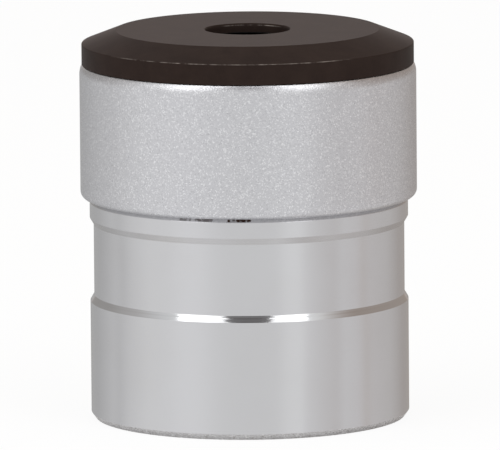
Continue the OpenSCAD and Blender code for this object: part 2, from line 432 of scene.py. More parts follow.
@dataclass(frozen=True)
class DyedBlack(Finish):
    """Anodised and dyed aluminium: matt and a little brown, with bright lines of bare metal on its edges that
    are partly wear and partly painted highlight.

    Attributes:
        bloom: sRGB colour of the dustier places.
        bloom_at: Patches of that dust.
        grit: Width of the fine etched grain.
        grit_breaks: Strength of the finer grain in that grain.
        grit_depth: Depth of that grain.
        gloss: Specular level of the dyed skin.
        bare: sRGB colour of the metal where the dye is rubbed off, which also serves as a painted highlight.
        wear_and_highlight_at: Radius and height of each edge with a bright line.
        wear_and_highlight_w: How far from the edge the bright line reaches.
        wear_and_highlight_core: Share of that width over which the metal is quite bare.
        wear_and_highlight_breaks: What is left of the line where it is broken.
        wear_and_highlight_side: Azimuth of the middle of the bright stretch, in degrees, towards the lamps;
            there is another opposite.
        wear_and_highlight_spread: Half the length of that stretch, in degrees.
        wear_and_highlight_fade: Half the length over which it ends, in degrees.
    """

    bloom: str = "#322824"
    bloom_at: Patches = Patches(2.4, 0.35, 0.75, 6.0, 0.65)
    grit: float = 0.14
    grit_breaks: float = 0.6
    grit_depth: float = 0.003
    gloss: float = 0.03
    # Colour of the rubbed metal, which also paints the highlight of a lit edge
    bare: str = "#857d77"
    wear_and_highlight_at: tuple[tuple[float, float], ...] = ()
    wear_and_highlight_w: float = 0.06
    wear_and_highlight_core: float = 0.35
    wear_and_highlight_breaks: Patches = Patches(1.1, 0.38, 0.64, 4.0, 0.7)
    wear_and_highlight_side: float = -8.0
    wear_and_highlight_spread: float = 42.0
    wear_and_highlight_fade: float = 5.0

    def sockets(self) -> dict[str, Any]:
        """Dulls the gloss."""
        return super().sockets() | {"Specular IOR Level": self.gloss}

    def pattern(self, tree: NodeTree, shader: Node) -> None:
        """Adds the grain, the dust, and the bright edges, partly rubbed and partly painted highlight.

        Args:
            tree: The material's nodes.
            shader: Its shader.
        """
        place = add_node(tree, "ShaderNodeTexCoord").outputs["Object"]
        grain = add_node(
            tree, "ShaderNodeTexNoise",
            {"Vector": place, "Scale": 1 / (self.grit * MM), "Roughness": self.grit_breaks},
        ).outputs["Fac"]
        self.etch(tree, shader, grain, self.grit_depth)
        dust = self.bloom_at.cover(tree, place)
        black = add_node(
            tree, "ShaderNodeMix", data_type="RGBA",
            inputs={0: dust, 6: linear(self.colour), 7: linear(self.bloom)},
        ).outputs[2]
        rubbed_and_lit_edges = self.rubbed_and_lit_edges(tree, place)
        colour = add_node(
            tree, "ShaderNodeMix", data_type="RGBA", inputs={0: rubbed_and_lit_edges, 6: black, 7: linear(self.bare)}
        )
        tree.links.new(colour.outputs[2], shader.inputs["Base Color"])
        tree.links.new(rubbed_and_lit_edges, shader.inputs["Metallic"])

    def rubbed_and_lit_edges(self, tree: NodeTree, place: NodeSocket) -> NodeSocket:
        """Works out where an edge shows bare metal, partly rubbed and partly painted highlight.

        Args:
            tree: The material's nodes.
            place: Point on the surface.

        Returns:
            1 on the bright line and 0 on dye.
        """
        axes = add_node(tree, "ShaderNodeSeparateXYZ", {"Vector": place})
        flat = add_node(
            tree, "ShaderNodeCombineXYZ", {"X": axes.outputs["X"], "Y": axes.outputs["Y"]}
        ).outputs["Vector"]
        radius = add_node(tree, "ShaderNodeVectorMath", {0: flat}, operation="LENGTH").outputs["Value"]
        section = add_node(
            tree, "ShaderNodeCombineXYZ", {"X": radius, "Y": axes.outputs["Z"]}
        ).outputs["Vector"]
        off: NodeSocket | float = 1.0
        for r, z in self.wear_and_highlight_at:
            gap = add_node(
                tree, "ShaderNodeVectorMath", {0: section, 1: (r * MM, z * MM, 0.0)}, operation="DISTANCE"
            ).outputs["Value"]
            off = add_node(tree, "ShaderNodeMath", {0: off, 1: gap}, operation="MINIMUM").outputs["Value"]
        near = add_node(
            tree, "ShaderNodeMapRange",
            {"Value": off, "From Min": self.wear_and_highlight_core * self.wear_and_highlight_w * MM, "From Max": self.wear_and_highlight_w * MM,
             "To Min": 1.0, "To Max": 0.0},
        ).outputs["Result"]
        # The bright line: rubbed metal, and a painted highlight where it faces the lamps
        rubbed = add_node(
            tree, "ShaderNodeMath", operation="MULTIPLY",
            inputs={0: near, 1: self.wear_and_highlight_breaks.cover(tree, place)},
        ).outputs["Value"]
        # Only the stretch towards the lamps and the one opposite are bright; there the line paints the
        # highlight of the lit rim and of the eye hole's far edge
        aside = add_node(
            tree, "ShaderNodeMath", operation="SUBTRACT",
            inputs={0: azimuth_of(tree, axes), 1: math.radians(self.wear_and_highlight_side)},
        ).outputs["Value"]
        along = add_node(tree, "ShaderNodeMath", {0: aside}, operation="COSINE").outputs["Value"]
        facing = add_node(tree, "ShaderNodeMath", {0: along}, operation="ABSOLUTE").outputs["Value"]
        lamp_side_and_back = add_node(
            tree, "ShaderNodeMapRange",
            {"Value": facing,
             "From Min": math.cos(math.radians(self.wear_and_highlight_spread + self.wear_and_highlight_fade)),
             "From Max": math.cos(math.radians(self.wear_and_highlight_spread - self.wear_and_highlight_fade))},
        ).outputs["Result"]
        return add_node(tree, "ShaderNodeMath", {0: rubbed, 1: lamp_side_and_back}, operation="MULTIPLY").outputs["Value"]


@dataclass(frozen=True)
class MattPaint(Finish):
    """Flat black paint: rough, with faint patches of dust.

    Attributes:
        dust: sRGB colour of the dust.
        dust_at: Patches of dust.
    """

    dust: str = "#2b2a29"
    dust_at: Patches = Patches(0.9, 0.4, 0.75, 5.0, 0.7)

    def pattern(self, tree: NodeTree, shader: Node) -> None:
        """Adds the dust.

        Args:
            tree: The material's nodes.
            shader: Its shader.
        """
        place = add_node(tree, "ShaderNodeTexCoord").outputs["Object"]
        dust = self.dust_at.cover(tree, place)
        colour = add_node(
            tree, "ShaderNodeMix", data_type="RGBA",
            inputs={0: dust, 6: linear(self.colour), 7: linear(self.dust)},
        )
        tree.links.new(colour.outputs[2], shader.inputs["Base Color"])


@dataclass(frozen=True)
class OpticalGlass(Finish):
    """Polished lens glass, clear through, with a thin coating that tints what it reflects.

    Attributes:
        ior: Refractive index against what lies outside the face.
        coating: Thickness of the coating in nanometres, 0 for none.
        coating_ior: Refractive index of the coating.
    """

    ior: float = 1.5
    coating: float = 0.0
    coating_ior: float = 1.38

    def sockets(self) -> dict[str, Any]:
        """Adds the transmission and the coating."""
        return super().sockets() | {
            "Transmission Weight": 1.0,
            "IOR": self.ior,
            "Thin Film Thickness": self.coating,
            "Thin Film IOR": self.coating_ior,
        }


@dataclass(frozen=True)
class Thread:
    """Sixty degree thread on a straight stretch, with its crests on the stretch's own radius.

    Attributes:
        pitch: Rise of one turn.
        depth: Depth of the groove, negative where it goes towards the axis.
    """

    pitch: float
    depth: float

    # Share of the pitch, and share of the depth there
    FORM_AT: ClassVar[tuple[float, ...]] = (0, 1 / 8, 7 / 16, 9 / 16, 7 / 8, 1)
    FORM: ClassVar[tuple[float, ...]] = (0, 0, 1, 1, 0, 0)
    # Turns over which the groove runs out at each end
    RUN_OUT: ClassVar[float] = 0.5

    def swell(self, height: float, run: float, turns: np.ndarray) -> np.ndarray:
        """Gives the groove's depth round one ring.

        Args:
            height: Height of the ring.
            run: Share of the depth that is cut at that height.
            turns: Share of a turn at each vertex.

        Returns:
            Depth at each vertex.
        """
        return run * self.depth * np.interp((height / self.pitch - turns) % 1, self.FORM_AT, self.FORM)

    def run_at(self, along: float, length: float) -> float:
        """Gives the share of the depth that is cut at a point of the stretch.

        Args:
            along: Distance of the point from the start of the stretch.
            length: Length of the stretch.

        Returns:
            0 at both ends, 1 past the run-out.
        """
        return min(1.0, min(along, length - along) / (self.RUN_OUT * self.pitch))


# Threads that join the body to its neighbours and the cell to its own, outside and inside
BODY_MALE, BODY_FEMALE = Thread(0.75, -0.406), Thread(0.75, 0.406)
CELL_MALE, CELL_FEMALE = Thread(0.5, -0.271), Thread(0.5, 0.271)


@dataclass(frozen=True)
class Corner:
    """Corner of a turned outline.

    Attributes:
        r: Radius about the axis.
        z: Height along the axis.
        skin: Finish of the stretch that starts here.
        edge: Radius that breaks the corner.
        thread: Thread on the stretch that starts here.
        sweep: Reach of the edge back along the stretch before, 0 where it is the same as ahead.
    """

    r: float
    z: float
    skin: Skin
    edge: float = 0.04
    thread: Thread | None = None
    sweep: float = 0.0


@dataclass(frozen=True)
class Ring:
    """Ring of vertices round the axis, with the skin of the faces that start there.

    Attributes:
        r: Radius.
        z: Height.
        skin: Finish of the faces up to the next ring.
        thread: Thread that cuts the ring.
        run: Share of the thread's depth that is cut here.
    """

    r: float
    z: float
    skin: Skin
    thread: Thread | None = None
    run: float = 0.0

    def radii(self, turns: np.ndarray) -> np.ndarray:
        """Gives the radius at each share of a turn.

        Args:
            turns: Shares of a turn.

        Returns:
            Radius at each.
        """
        even = np.full_like(turns, self.r)
        return even if self.thread is None else even + self.thread.swell(self.z, self.run, turns)


def broken_edge(before: Vector, at: Vector, after: Vector, corner: Corner) -> list[Vector]:
    """Rounds a corner of an outline.

    Args:
        before: Place of the corner before it, as radius and height.
        at: Place of the corner.
        after: Place of the corner after it.
        corner: The corner, whose edge is cut down where a neighbour is too close.

    Returns:
        Points from where the edge starts to where it ends.
    """
    back, on = before - at, after - at
    turn = math.pi - back.angle(on)
    if corner.edge <= 0 or turn < math.radians(STRAIGHT_TURN):
        return [at]
    room = EDGE_SHARE * min(back.length, on.length)
    ahead = min(corner.edge * math.tan(turn / 2), room)
    behind = min(corner.sweep, EDGE_SHARE * back.length) or ahead
    start, end = back.normalized() * behind, on.normalized() * ahead
    steps = max(2, math.ceil(math.degrees(turn) / FACET_TURN))
    angles = [math.pi / 2 * s / steps for s in range(steps + 1)]
    return [at + start * (1 - math.sin(a)) + end * (1 - math.cos(a)) for a in angles]


@dataclass(frozen=True)
class Outline:
    """Outline of a turned piece, anticlockwise with the axis on its left.

    Attributes:
        corners: Its corners in order.
        closed: Whether the last corner joins the first; if not, both are on the axis.
    """

    corners: list[Corner]
    closed: bool = True

    def rings(self) -> list[Ring]:
        """Breaks the edges and cuts the threads.

        Returns:
            Rings of vertices in order.
        """
        count = len(self.corners)
        points = [Vector((c.r, c.z)) for c in self.corners]
        arcs = [
            [points[i]]
            if not self.closed and i in (0, count - 1)
            else broken_edge(points[i - 1], points[i], points[(i + 1) % count], corner)
            for i, corner in enumerate(self.corners)
        ]
        rings = []
        for i, corner in enumerate(self.corners):
            rings += [Ring(p.x, p.y, corner.skin) for p in arcs[i]]
            if corner.thread is not None:
                start, end = arcs[i][-1], arcs[(i + 1) % count][0]
                length = (end - start).length
                steps = math.ceil(length / corner.thread.pitch * THREAD_ROWS)
                for s in range(1, steps):
                    p = start.lerp(end, s / steps)
                    run = corner.thread.run_at(length * s / steps, length)
                    rings.append(Ring(p.x, p.y, corner.skin, corner.thread, run))
        return rings

    def mesh(self, name: str, around: int) -> tuple[Mesh, list[Skin]]:
        """Turns the outline about the axis.

        Args:
            name: Name of the mesh.
            around: Vertices in one ring.

        Returns:
            The mesh, and the skins in the order of its material slots.
        """
        rings = self.rings()
        turns = np.arange(around) / around
        cos, sin = np.cos(2 * math.pi * turns), np.sin(2 * math.pi * turns)
        points: list[tuple[float, float, float]] = []
        index = []
        for ring in rings:
            if ring.r < AXIS_R:
                index.append([len(points)] * around)
                points.append((0.0, 0.0, ring.z * MM))
                continue
            index.append(list(range(len(points), len(points) + around)))
            radii = ring.radii(turns) * MM
            points += list(zip((radii * cos).tolist(), (radii * sin).tolist(), [ring.z * MM] * around))
        faces, skins = [], []
        for i in range(len(rings) if self.closed else len(rings) - 1):
            low, high = index[i], index[(i + 1) % len(rings)]
            for j in range(around):
                k = (j + 1) % around
                # A ring that is one point leaves a triangle
                face = tuple(dict.fromkeys((low[j], low[k], high[k], high[j])))
                if len(face) > 2:
                    faces.append(face)
                    skins.append(rings[i].skin)
        mesh = bpy.data.meshes.new(name)
        mesh.from_pydata(points, [], faces)
        order = list(dict.fromkeys(skins))
        mesh.polygons.foreach_set("material_index", [order.index(s) for s in skins])
        mesh.polygons.foreach_set("use_smooth", [True] * len(faces))
        return mesh, order


@dataclass(frozen=True)
class Solid:
    """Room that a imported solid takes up.

    Attributes:
        radius: Outside radius about the axis.
        low: Lowest height.
        high: Highest height.
    """

    radius: float
    low: float
    high: float

    @classmethod
    def of(cls, node: str) -> "Solid":
        """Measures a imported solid.

        Args:
            node: Name of its node.

        Returns:
            Its room, to a thousandth of a millimetre.
        """
        low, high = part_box(node)
        return cls(round(high.x / MM, 3), round(low.z / MM, 3), round(high.z / MM, 3))


@dataclass
class TurnedPart(ABC):
    """Piece turned about the axis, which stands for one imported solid.

    Attributes:
        NODE: Name of the solid's node.
        PIECE: Name of the piece.
        BODY: Body that it rides on.
        SLOT: The record's material slot.
        AROUND: Vertices in one ring.
    """

    NODE: ClassVar[str]
    PIECE: ClassVar[str]
    BODY: ClassVar[str]
    SLOT: ClassVar[str]
    AROUND: ClassVar[int] = 128

    @abstractmethod
    def outline(self) -> Outline:
        """Gives the piece's outline."""

    def cuts(self) -> list[tuple[Vector, Vector]]:
        """Gives the boxes cut out of the turned piece, as lowest and highest corners."""
        return []

    def solid(self) -> Solid:
        """Measures the solid that the piece stands for."""
        return Solid.of(self.NODE)

    def build(self, materials: dict[Skin, Material]) -> Object:
        """Turns, dresses and cuts the piece, and puts it in its solid's place.

        Args:
            materials: Material of each skin.

        Returns:
            The piece.
        """
        mesh, skins = self.outline().mesh(self.PIECE, self.AROUND)
        for skin in skins:
            mesh.materials.append(materials[skin])
        piece = bpy.data.objects.new(self.PIECE, mesh)
        bpy.context.scene.collection.objects.link(piece)
        for low, high in self.cuts():
            cut_box(piece, low, high)
        piece.data.set_sharp_from_angle(angle=math.radians(CREASE_TURN))
        even = piece.modifiers.new("even_shading", "WEIGHTED_NORMAL")
        even.keep_sharp = True
        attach(piece, self.BODY)
        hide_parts(self.NODE)
        return piece


def cut_box(piece: Object, low: Vector, high: Vector) -> None:
    """Cuts a box out of a piece.

    Args:
        piece: The piece, which keeps its name.
        low: Lowest corner of the box, in millimetres.
        high: Highest corner.
    """
    corners = [
        (x * MM, y * MM, z * MM) for x in (low.x, high.x) for y in (low.y, high.y) for z in (low.z, high.z)
    ]
    sides = [(0, 1, 3, 2), (4, 6, 7, 5), (0, 4, 5, 1), (2, 3, 7, 6), (0, 2, 6, 4), (1, 5, 7, 3)]
    tool = bpy.data.objects.new("cutter", bpy.data.meshes.new("cutter"))
    tool.data.from_pydata(corners, [], sides)
    bpy.context.scene.collection.objects.link(tool)
    # The cut crosses a flat triangle in one line, which keeps the mesh closed
    piece.modifiers.new("flat", "TRIANGULATE")
    cut = piece.modifiers.new("cut", "BOOLEAN")
    cut.operation, cut.solver, cut.object = "DIFFERENCE", "EXACT", tool
    shaped = piece.evaluated_get(bpy.context.evaluated_depsgraph_get())
    whole, piece.data = piece.data, bpy.data.meshes.new_from_object(shaped)
    piece.modifiers.clear()
    bpy.data.meshes.remove(whole)
    bpy.data.meshes.remove(tool.data)


@dataclass
class NoseBarrel(TurnedPart):
    """Chrome nose: two lands, the safety undercut between them, a filter thread and a grooved bore."""

    NODE = "nose_barrel"
    PIECE = "nose_barrel_turned"
    BODY = "nose"
    SLOT = "turned_chrome"

    shoulder_z: float = 22.1
    land_z: float = 11.75
    bevel_h: float = 0.65
    collar_z: float = 20.15
    collar_break_w: float = 0.25
    collar_break_h: float = 0.38
    undercut_r: float = 15.49
    foot_chamfer_w: float = 0.45
    foot_chamfer_h: float = 0.6
    foot_edge: float = 0.02
    land_edge: float = 0.03
    collar_edge: float = 0.06
    undercut_fillet: float = 0.08
    spigot_r: float = 14.695
    relief: float = 0.6
    lead_in: float = 0.4
    joint: Thread = BODY_MALE
    bore_r: float = 13.69
    spigot_bore_r: float = 13.389
    glare: Thread = Thread(0.8, 0.25)
    glare_z: tuple[float, float] = (5.2, 21.2)
    filter_r: float = 13.925
    filter_z: tuple[float, float] = (0.4, 4.6)
    filter: Thread = Thread(0.6, 0.325)

    def outline(self) -> Outline:
        """Goes up the outside, up the spigot, and down the bore."""
        room = self.solid()
        turned, bright, dull = Skin.TURNED_CHROME, Skin.BRIGHT_CHROME, Skin.DULL_SHADED_CHROME
        rough, black = Skin.ROUGH_CHROME, Skin.MATT_BLACK
        root = self.spigot_r + self.joint.depth
        relief_z = self.shoulder_z + self.relief
        return Outline([
            Corner(self.filter_r + self.lead_in, room.low, turned),
            Corner(room.radius - self.foot_chamfer_w, room.low, rough),
            Corner(room.radius, self.foot_chamfer_h, turned, self.foot_edge),
            Corner(room.radius, self.land_z, bright, self.land_edge),
            Corner(self.undercut_r, self.land_z + self.bevel_h, turned, self.undercut_fillet),
            # The bevel that faces down takes the greyer skin, which paints the shade that it mirrors
            Corner(self.undercut_r, self.collar_z - self.bevel_h, dull, self.undercut_fillet),
            Corner(room.radius, self.collar_z, turned, self.land_edge),
            Corner(room.radius, self.shoulder_z - self.collar_break_h, turned, self.collar_edge),
            Corner(room.radius - self.collar_break_w, self.shoulder_z, turned),
            Corner(root, self.shoulder_z, turned),
            Corner(root, relief_z, turned),
            Corner(self.spigot_r, relief_z - self.joint.depth, turned, thread=self.joint),
            Corner(self.spigot_r, room.high - self.lead_in, turned),
            Corner(self.spigot_r - self.lead_in, room.high, turned),
            Corner(self.spigot_bore_r, room.high, black),
            Corner(self.spigot_bore_r, self.shoulder_z - self.relief, black),
            Corner(self.bore_r, self.glare_z[1], black, thread=self.glare),
            Corner(self.bore_r, self.glare_z[0], black),
            Corner(self.bore_r, self.filter_z[1] + self.filter_r - self.bore_r, black),
            Corner(self.filter_r, self.filter_z[1], turned, thread=self.filter),
            Corner(self.filter_r, self.filter_z[0], turned),
        ])


@dataclass
class SatinBody(TurnedPart):
    """Satin body: a plain band with soft edges, a threaded socket at each end and a web for the cell."""

    NODE = "upper_body"
    PIECE = "satin_body_turned"
    BODY = "body"
    SLOT = "satin_aluminium"

    low_round: float = 0.95
    top_edge_w: float = 0.42
    top_edge_h: float = 1.0
    socket_r: float = 14.775
    joint: Thread = BODY_FEMALE
    lead_in: float = 0.4
    nose_socket_z: float = 26.1
    cap_socket_z: float = 31.9
    web_z: tuple[float, float] = (26.7, 31.3)
    web_r: float = 6.81
    web_thread: Thread = CELL_FEMALE

    def outline(self) -> Outline:
        """Goes up the outside, down the cap's socket, through the web and down the nose's socket."""
        room = self.solid()
        satin, bare, black = Skin.BLASTED_ALUMINIUM, Skin.MACHINED_ALUMINIUM, Skin.MATT_BLACK
        root = self.socket_r + self.joint.depth
        return Outline([
            Corner(self.socket_r + self.lead_in, room.low, satin),
            Corner(room.radius, room.low, satin, self.low_round),
            Corner(room.radius, room.high, satin, self.top_edge_w, sweep=self.top_edge_h),
            Corner(self.socket_r + self.lead_in, room.high, bare),
            Corner(self.socket_r, room.high - self.lead_in, bare, thread=self.joint),
            Corner(self.socket_r, self.cap_socket_z + self.joint.depth, bare),
            Corner(root, self.cap_socket_z, bare),
            Corner(root, self.web_z[1], black),
            Corner(self.web_r + self.lead_in, self.web_z[1], black),
            Corner(self.web_r, self.web_z[1] - self.lead_in, black, thread=self.web_thread),
            Corner(self.web_r, self.web_z[0] + self.lead_in, black),
            Corner(self.web_r + self.lead_in, self.web_z[0], black),
            Corner(root, self.web_z[0], bare),
            Corner(root, self.nose_socket_z, bare),
            Corner(self.socket_r, self.nose_socket_z - self.joint.depth, bare, thread=self.joint),
            Corner(self.socket_r, room.low + self.lead_in, bare),
        ])


@dataclass
class EyeCap(TurnedPart):
    """Black eye cap: a short rim, a shallow cone, a flat top with the eye hole and a threaded skirt."""

    NODE = "eye_cap"
    PIECE = "eye_cap_turned"
    BODY = "cap"
    SLOT = "black_anodised"

    seat_z: float = 35.5
    rim_z: float = 37.55
    top_r: float = 13.15
    hole_r: float = 4.175
    hole_land: float = 0.9
    plate_t: float = 1.0
    cone_h: float = 1.33
    skirt_r: float = 13.095
    spigot_r: float = 14.695
    joint: Thread = BODY_MALE
    relief: float = 0.6
    lead_in: float = 0.4
    edge: float = 0.1
    hole_edge_w: float = 0.16
    hole_edge_h: float = 0.45

    def outline(self) -> Outline:
        """Goes out under the skirt, up its thread, over the rim and the top, and down the inside."""
        room = self.solid()
        black, matt = Skin.BLACK_ANODISED, Skin.MATT_BLACK
        root = self.spigot_r + self.joint.depth
        plate_z = room.high - self.plate_t
        return Outline([
            Corner(self.skirt_r, room.low, black),
            Corner(self.spigot_r - self.lead_in, room.low, black),
            Corner(self.spigot_r, room.low + self.lead_in, black, thread=self.joint),
            Corner(self.spigot_r, self.seat_z - self.relief + self.joint.depth, black),
            Corner(root, self.seat_z - self.relief, black),
            Corner(root, self.seat_z, black),
            Corner(room.radius, self.seat_z, black),
            Corner(room.radius, self.rim_z, black, self.edge),
            Corner(self.top_r, room.high, black, self.edge),
            Corner(self.hole_r, room.high, black, self.hole_edge_h, sweep=self.hole_edge_w),
            Corner(self.hole_r, room.high - self.hole_land, matt),
            Corner(self.hole_r + self.plate_t - self.hole_land, plate_z, matt),
            Corner(self.skirt_r - self.cone_h, plate_z, matt),
            Corner(self.skirt_r, plate_z - self.cone_h, matt),
        ])


@dataclass
class LensCell(TurnedPart):
    """Blackened cell: a tube with a lip above, a flange and thread outside and a threaded tail."""

    NODE = "lens_cell"
    PIECE = "lens_cell_turned"
    BODY = "cell"
    SLOT = "blackened_aluminium"

    outside_r: float = 6.73
    flange_z: tuple[float, float] = (25.2, 26.7)
    thread_z: tuple[float, float] = (27.3, 31.3)
    male: Thread = CELL_MALE
    female: Thread = CELL_FEMALE
    lead_in: float = 0.4
    lens_bore_r: float = 5.03
    lip_t: float = 0.8
    lip_w: float = 0.7
    tail_r: float = 5.48
    tail_top_z: float = 27.65
    tail_lip: float = 0.4
    slot_w: float = 1.0
    slot_depth: float = 0.7
    slot_len: float = 1.6

    def outline(self) -> Outline:
        """Goes up the outside past the flange and the thread, and down the bore."""
        room = self.solid()
        black, matt = Skin.BLACK_ANODISED, Skin.MATT_BLACK
        root = self.outside_r + self.male.depth
        seat_z = room.high - self.lip_t
        step = self.tail_r - self.lens_bore_r
        return Outline([
            Corner(self.outside_r, room.low, black),
            Corner(self.outside_r, self.flange_z[0], black),
            Corner(room.radius, self.flange_z[0], black),
            Corner(room.radius, self.flange_z[1], black),
            Corner(root, self.flange_z[1], black),
            Corner(root, self.thread_z[0], black),
            Corner(self.outside_r, self.thread_z[0] - self.male.depth, black, thread=self.male),
            Corner(self.outside_r, self.thread_z[1] + self.male.depth, black),
            Corner(root, self.thread_z[1], black),
            Corner(root, room.high - self.lead_in, black),
            Corner(root - self.lead_in, room.high, black),
            Corner(self.lens_bore_r - self.lip_w + self.lip_t, room.high, matt),
            Corner(self.lens_bore_r - self.lip_w, seat_z, matt),
            Corner(self.lens_bore_r, seat_z, matt),
            Corner(self.lens_bore_r, self.tail_top_z + step, matt),
            Corner(self.tail_r, self.tail_top_z, matt, thread=self.female),
            Corner(self.tail_r, room.low + self.tail_lip, matt),
            Corner(self.tail_r + self.tail_lip, room.low, matt),
        ])

    def cuts(self) -> list[tuple[Vector, Vector]]:
        """Cuts two spanner slots in the underside of the flange."""
        outer = self.solid().radius + CUTTER_CLEAR
        inner = self.solid().radius - self.slot_len
        low, high = self.flange_z[0] - CUTTER_CLEAR, self.flange_z[0] + self.slot_depth
        half = self.slot_w / 2
        return [
            (Vector((inner, -half, low)), Vector((outer, half, high))),
            (Vector((-outer, -half, low)), Vector((-inner, half, high))),
        ]


@dataclass
class SpannerRing(TurnedPart):
    """Threaded ring with two spanner slots across its lower face."""

    BODY = "ring"
    SLOT = "blackened_aluminium"
    AROUND = 96

    outside: Thread = CELL_MALE
    edge: float = 0.03
    slot_w: float = 1.0
    slot_depth: float = 0.7

    def cuts(self) -> list[tuple[Vector, Vector]]:
        """Cuts one slot right across, which leaves two in the ring."""
        room = self.solid()
        reach, half = room.radius + CUTTER_CLEAR, self.slot_w / 2
        low, high = room.low - CUTTER_CLEAR, room.low + self.slot_depth
        return [(Vector((-reach, -half, low)), Vector((reach, half, high)))]


@dataclass
class RetainingRing(SpannerRing):
    """Ring that presses the lenses against the lip of the cell."""

    NODE = "retaining_ring"
    PIECE = "retaining_ring_turned"

    wall: float = 1.0

    def outline(self) -> Outline:
        """Goes up the thread and down the bore."""
        room, black, matt = self.solid(), Skin.BLACK_ANODISED, Skin.MATT_BLACK
        return Outline([
            Corner(room.radius - self.wall, room.low, black, self.edge),
            Corner(room.radius, room.low, black, self.edge, self.outside),
            Corner(room.radius, room.high, black, self.edge),
            Corner(room.radius - self.wall, room.high, matt, self.edge),
        ])


@dataclass
class FieldStop(SpannerRing):
    """Diaphragm whose sharp upper edge bounds the field of view."""

    NODE = "field_stop"
    PIECE = "field_stop_turned"
    BODY = "stop"

    width: float = 1.1
    sink: float = 0.5
    sharp_h: float = 0.08

    def outline(self) -> Outline:
        """Goes up the thread, in over the top and down the countersink."""
        room, black, matt = self.solid(), Skin.BLACK_ANODISED, Skin.MATT_BLACK
        hole = room.radius - self.width
        return Outline([
            Corner(hole + self.sink, room.low, black, self.edge),
            Corner(room.radius, room.low, black, self.edge, self.outside),
            Corner(room.radius, room.high, matt, self.edge),
            Corner(hole, room.high, matt, 0.0),
            Corner(hole, room.high - self.sharp_h, matt, 0.0),
        ])


@dataclass
class LensSpacer(TurnedPart):
    """Plain ring that keeps the two doublets apart."""

    NODE = "lens_spacer"
    PIECE = "lens_spacer_turned"
    BODY = "cell"
    SLOT = "blackened_aluminium"
    AROUND = 96

    wall: float = 0.5
    edge: float = 0.03

    def outline(self) -> Outline:
        """Goes round the ring's four corners."""
        room, matt = self.solid(), Skin.MATT_BLACK
        return Outline([
            Corner(room.radius - self.wall, room.low, matt, self.edge),
            Corner(room.radius, room.low, matt, self.edge),
            Corner(room.radius, room.high, matt, self.edge),
            Corner(room.radius - self.wall, room.high, matt, self.edge),
        ])


class Side(Enum):
    """End of the eyepiece that a lens belongs to; the value is the direction of its outer face."""

    EYE = 1
    FIELD = -1


@dataclass
class Lens(TurnedPart):
    """Lens of a doublet; the two doublets are mirror images.

    Attributes:
        SIDE: Doublet that the lens belongs to.
        cement_r: Radius of the cemented face.
        bevel: Radius of the ground bevel round a face.
        steps: Rings on a curved face.
    """

    SIDE: ClassVar[Side]
    BODY = "cell"
    AROUND = 96

    cement_r: float = 12.3
    bevel: float = 0.12
    steps: int = 20

    def face(self, apex: float, ball: float, rim_r: float, skin: Skin) -> list[Corner]:
        """Draws a face from the axis outwards.

        Args:
            apex: Height of the face on the axis.
            ball: Radius of the face, positive where it falls away outwards, 0 if flat.
            rim_r: Radius of its rim.
            skin: Its finish.

        Returns:
            Corners from the axis to the rim.
        """
        radii = [rim_r * s / self.steps for s in range(self.steps + 1)]
        drops = [abs(ball) - math.sqrt(ball * ball - r * r) if ball else 0.0 for r in radii]
        return [Corner(r, apex - math.copysign(drop, ball), skin, 0.0) for r, drop in zip(radii, drops)]

    def between(self, lower: list[Corner], upper: list[Corner]) -> Outline:
        """Joins two faces by an inked rim, and turns them over for the field side.

        Args:
            lower: Face towards the middle of the eyepiece, from the axis outwards.
            upper: Face towards its end.

        Returns:
            Outline from the axis round to the axis.
        """
        rims = [
            Corner(lower[-1].r, lower[-1].z, Skin.INKED_EDGE, self.bevel),
            Corner(upper[-1].r, upper[-1].z, upper[0].skin, self.bevel),
        ]
        corners = lower[:-1] + rims + upper[-2::-1]
        if self.SIDE is Side.FIELD:
            skins = [c.skin for c in corners]
            turned = [Corner(c.r, -c.z, skin, c.edge) for c, skin in zip(corners, skins[-1:] + skins[:-1])]
            corners = turned[::-1]
        return Outline(corners, closed=False)

    def ends(self) -> tuple[float, float]:
        """Gives the solid's inner and outer height, measured towards the lens's own end."""
        room = self.solid()
        return (room.low, room.high) if self.SIDE is Side.EYE else (-room.high, -room.low)


@dataclass
class CrownLens(Lens):
    """Inner lens of a doublet, bulged on both faces."""

    SLOT = "crown_glass"

    air_r: float = 8.6

    def outline(self) -> Outline:
        """Joins the face on the air gap to the cemented face."""
        inner, outer = self.ends()
        rim = self.solid().radius
        return self.between(
            self.face(inner, -self.air_r, rim, Skin.CROWN_GLASS),
            self.face(outer, self.cement_r, rim, Skin.CROWN_CEMENT),
        )


@dataclass
class FlintLens(Lens):
    """Outer lens of a doublet, hollow on the cemented face and flat outside."""

    SLOT = "flint_glass"

    centre_t: float = 1.18
    cement_gap: float = 0.02

    def outline(self) -> Outline:
        """Joins the cemented face to the flat one."""
        outer = self.ends()[1]
        rim = self.solid().radius
        return self.between(
            self.face(outer - self.centre_t, self.cement_r + self.cement_gap, rim, Skin.FLINT_CEMENT),
            self.face(outer, 0.0, rim, Skin.FLINT_GLASS),
        )


@dataclass
class EyeFlint(FlintLens):
    """Outer lens under the eye hole."""

    NODE, PIECE, SIDE = "eye_flint_lens", "eye_flint_lens_ground", Side.EYE


@dataclass
class EyeCrown(CrownLens):
    """Inner lens of the upper doublet."""

    NODE, PIECE, SIDE = "eye_crown_lens", "eye_crown_lens_ground", Side.EYE


@dataclass
class FieldCrown(CrownLens):
    """Inner lens of the lower doublet."""

    NODE, PIECE, SIDE = "field_crown_lens", "field_crown_lens_ground", Side.FIELD


@dataclass
class FieldFlint(FlintLens):
    """Outer lens above the field stop."""

    NODE, PIECE, SIDE = "field_flint_lens", "field_flint_lens_ground", Side.FIELD


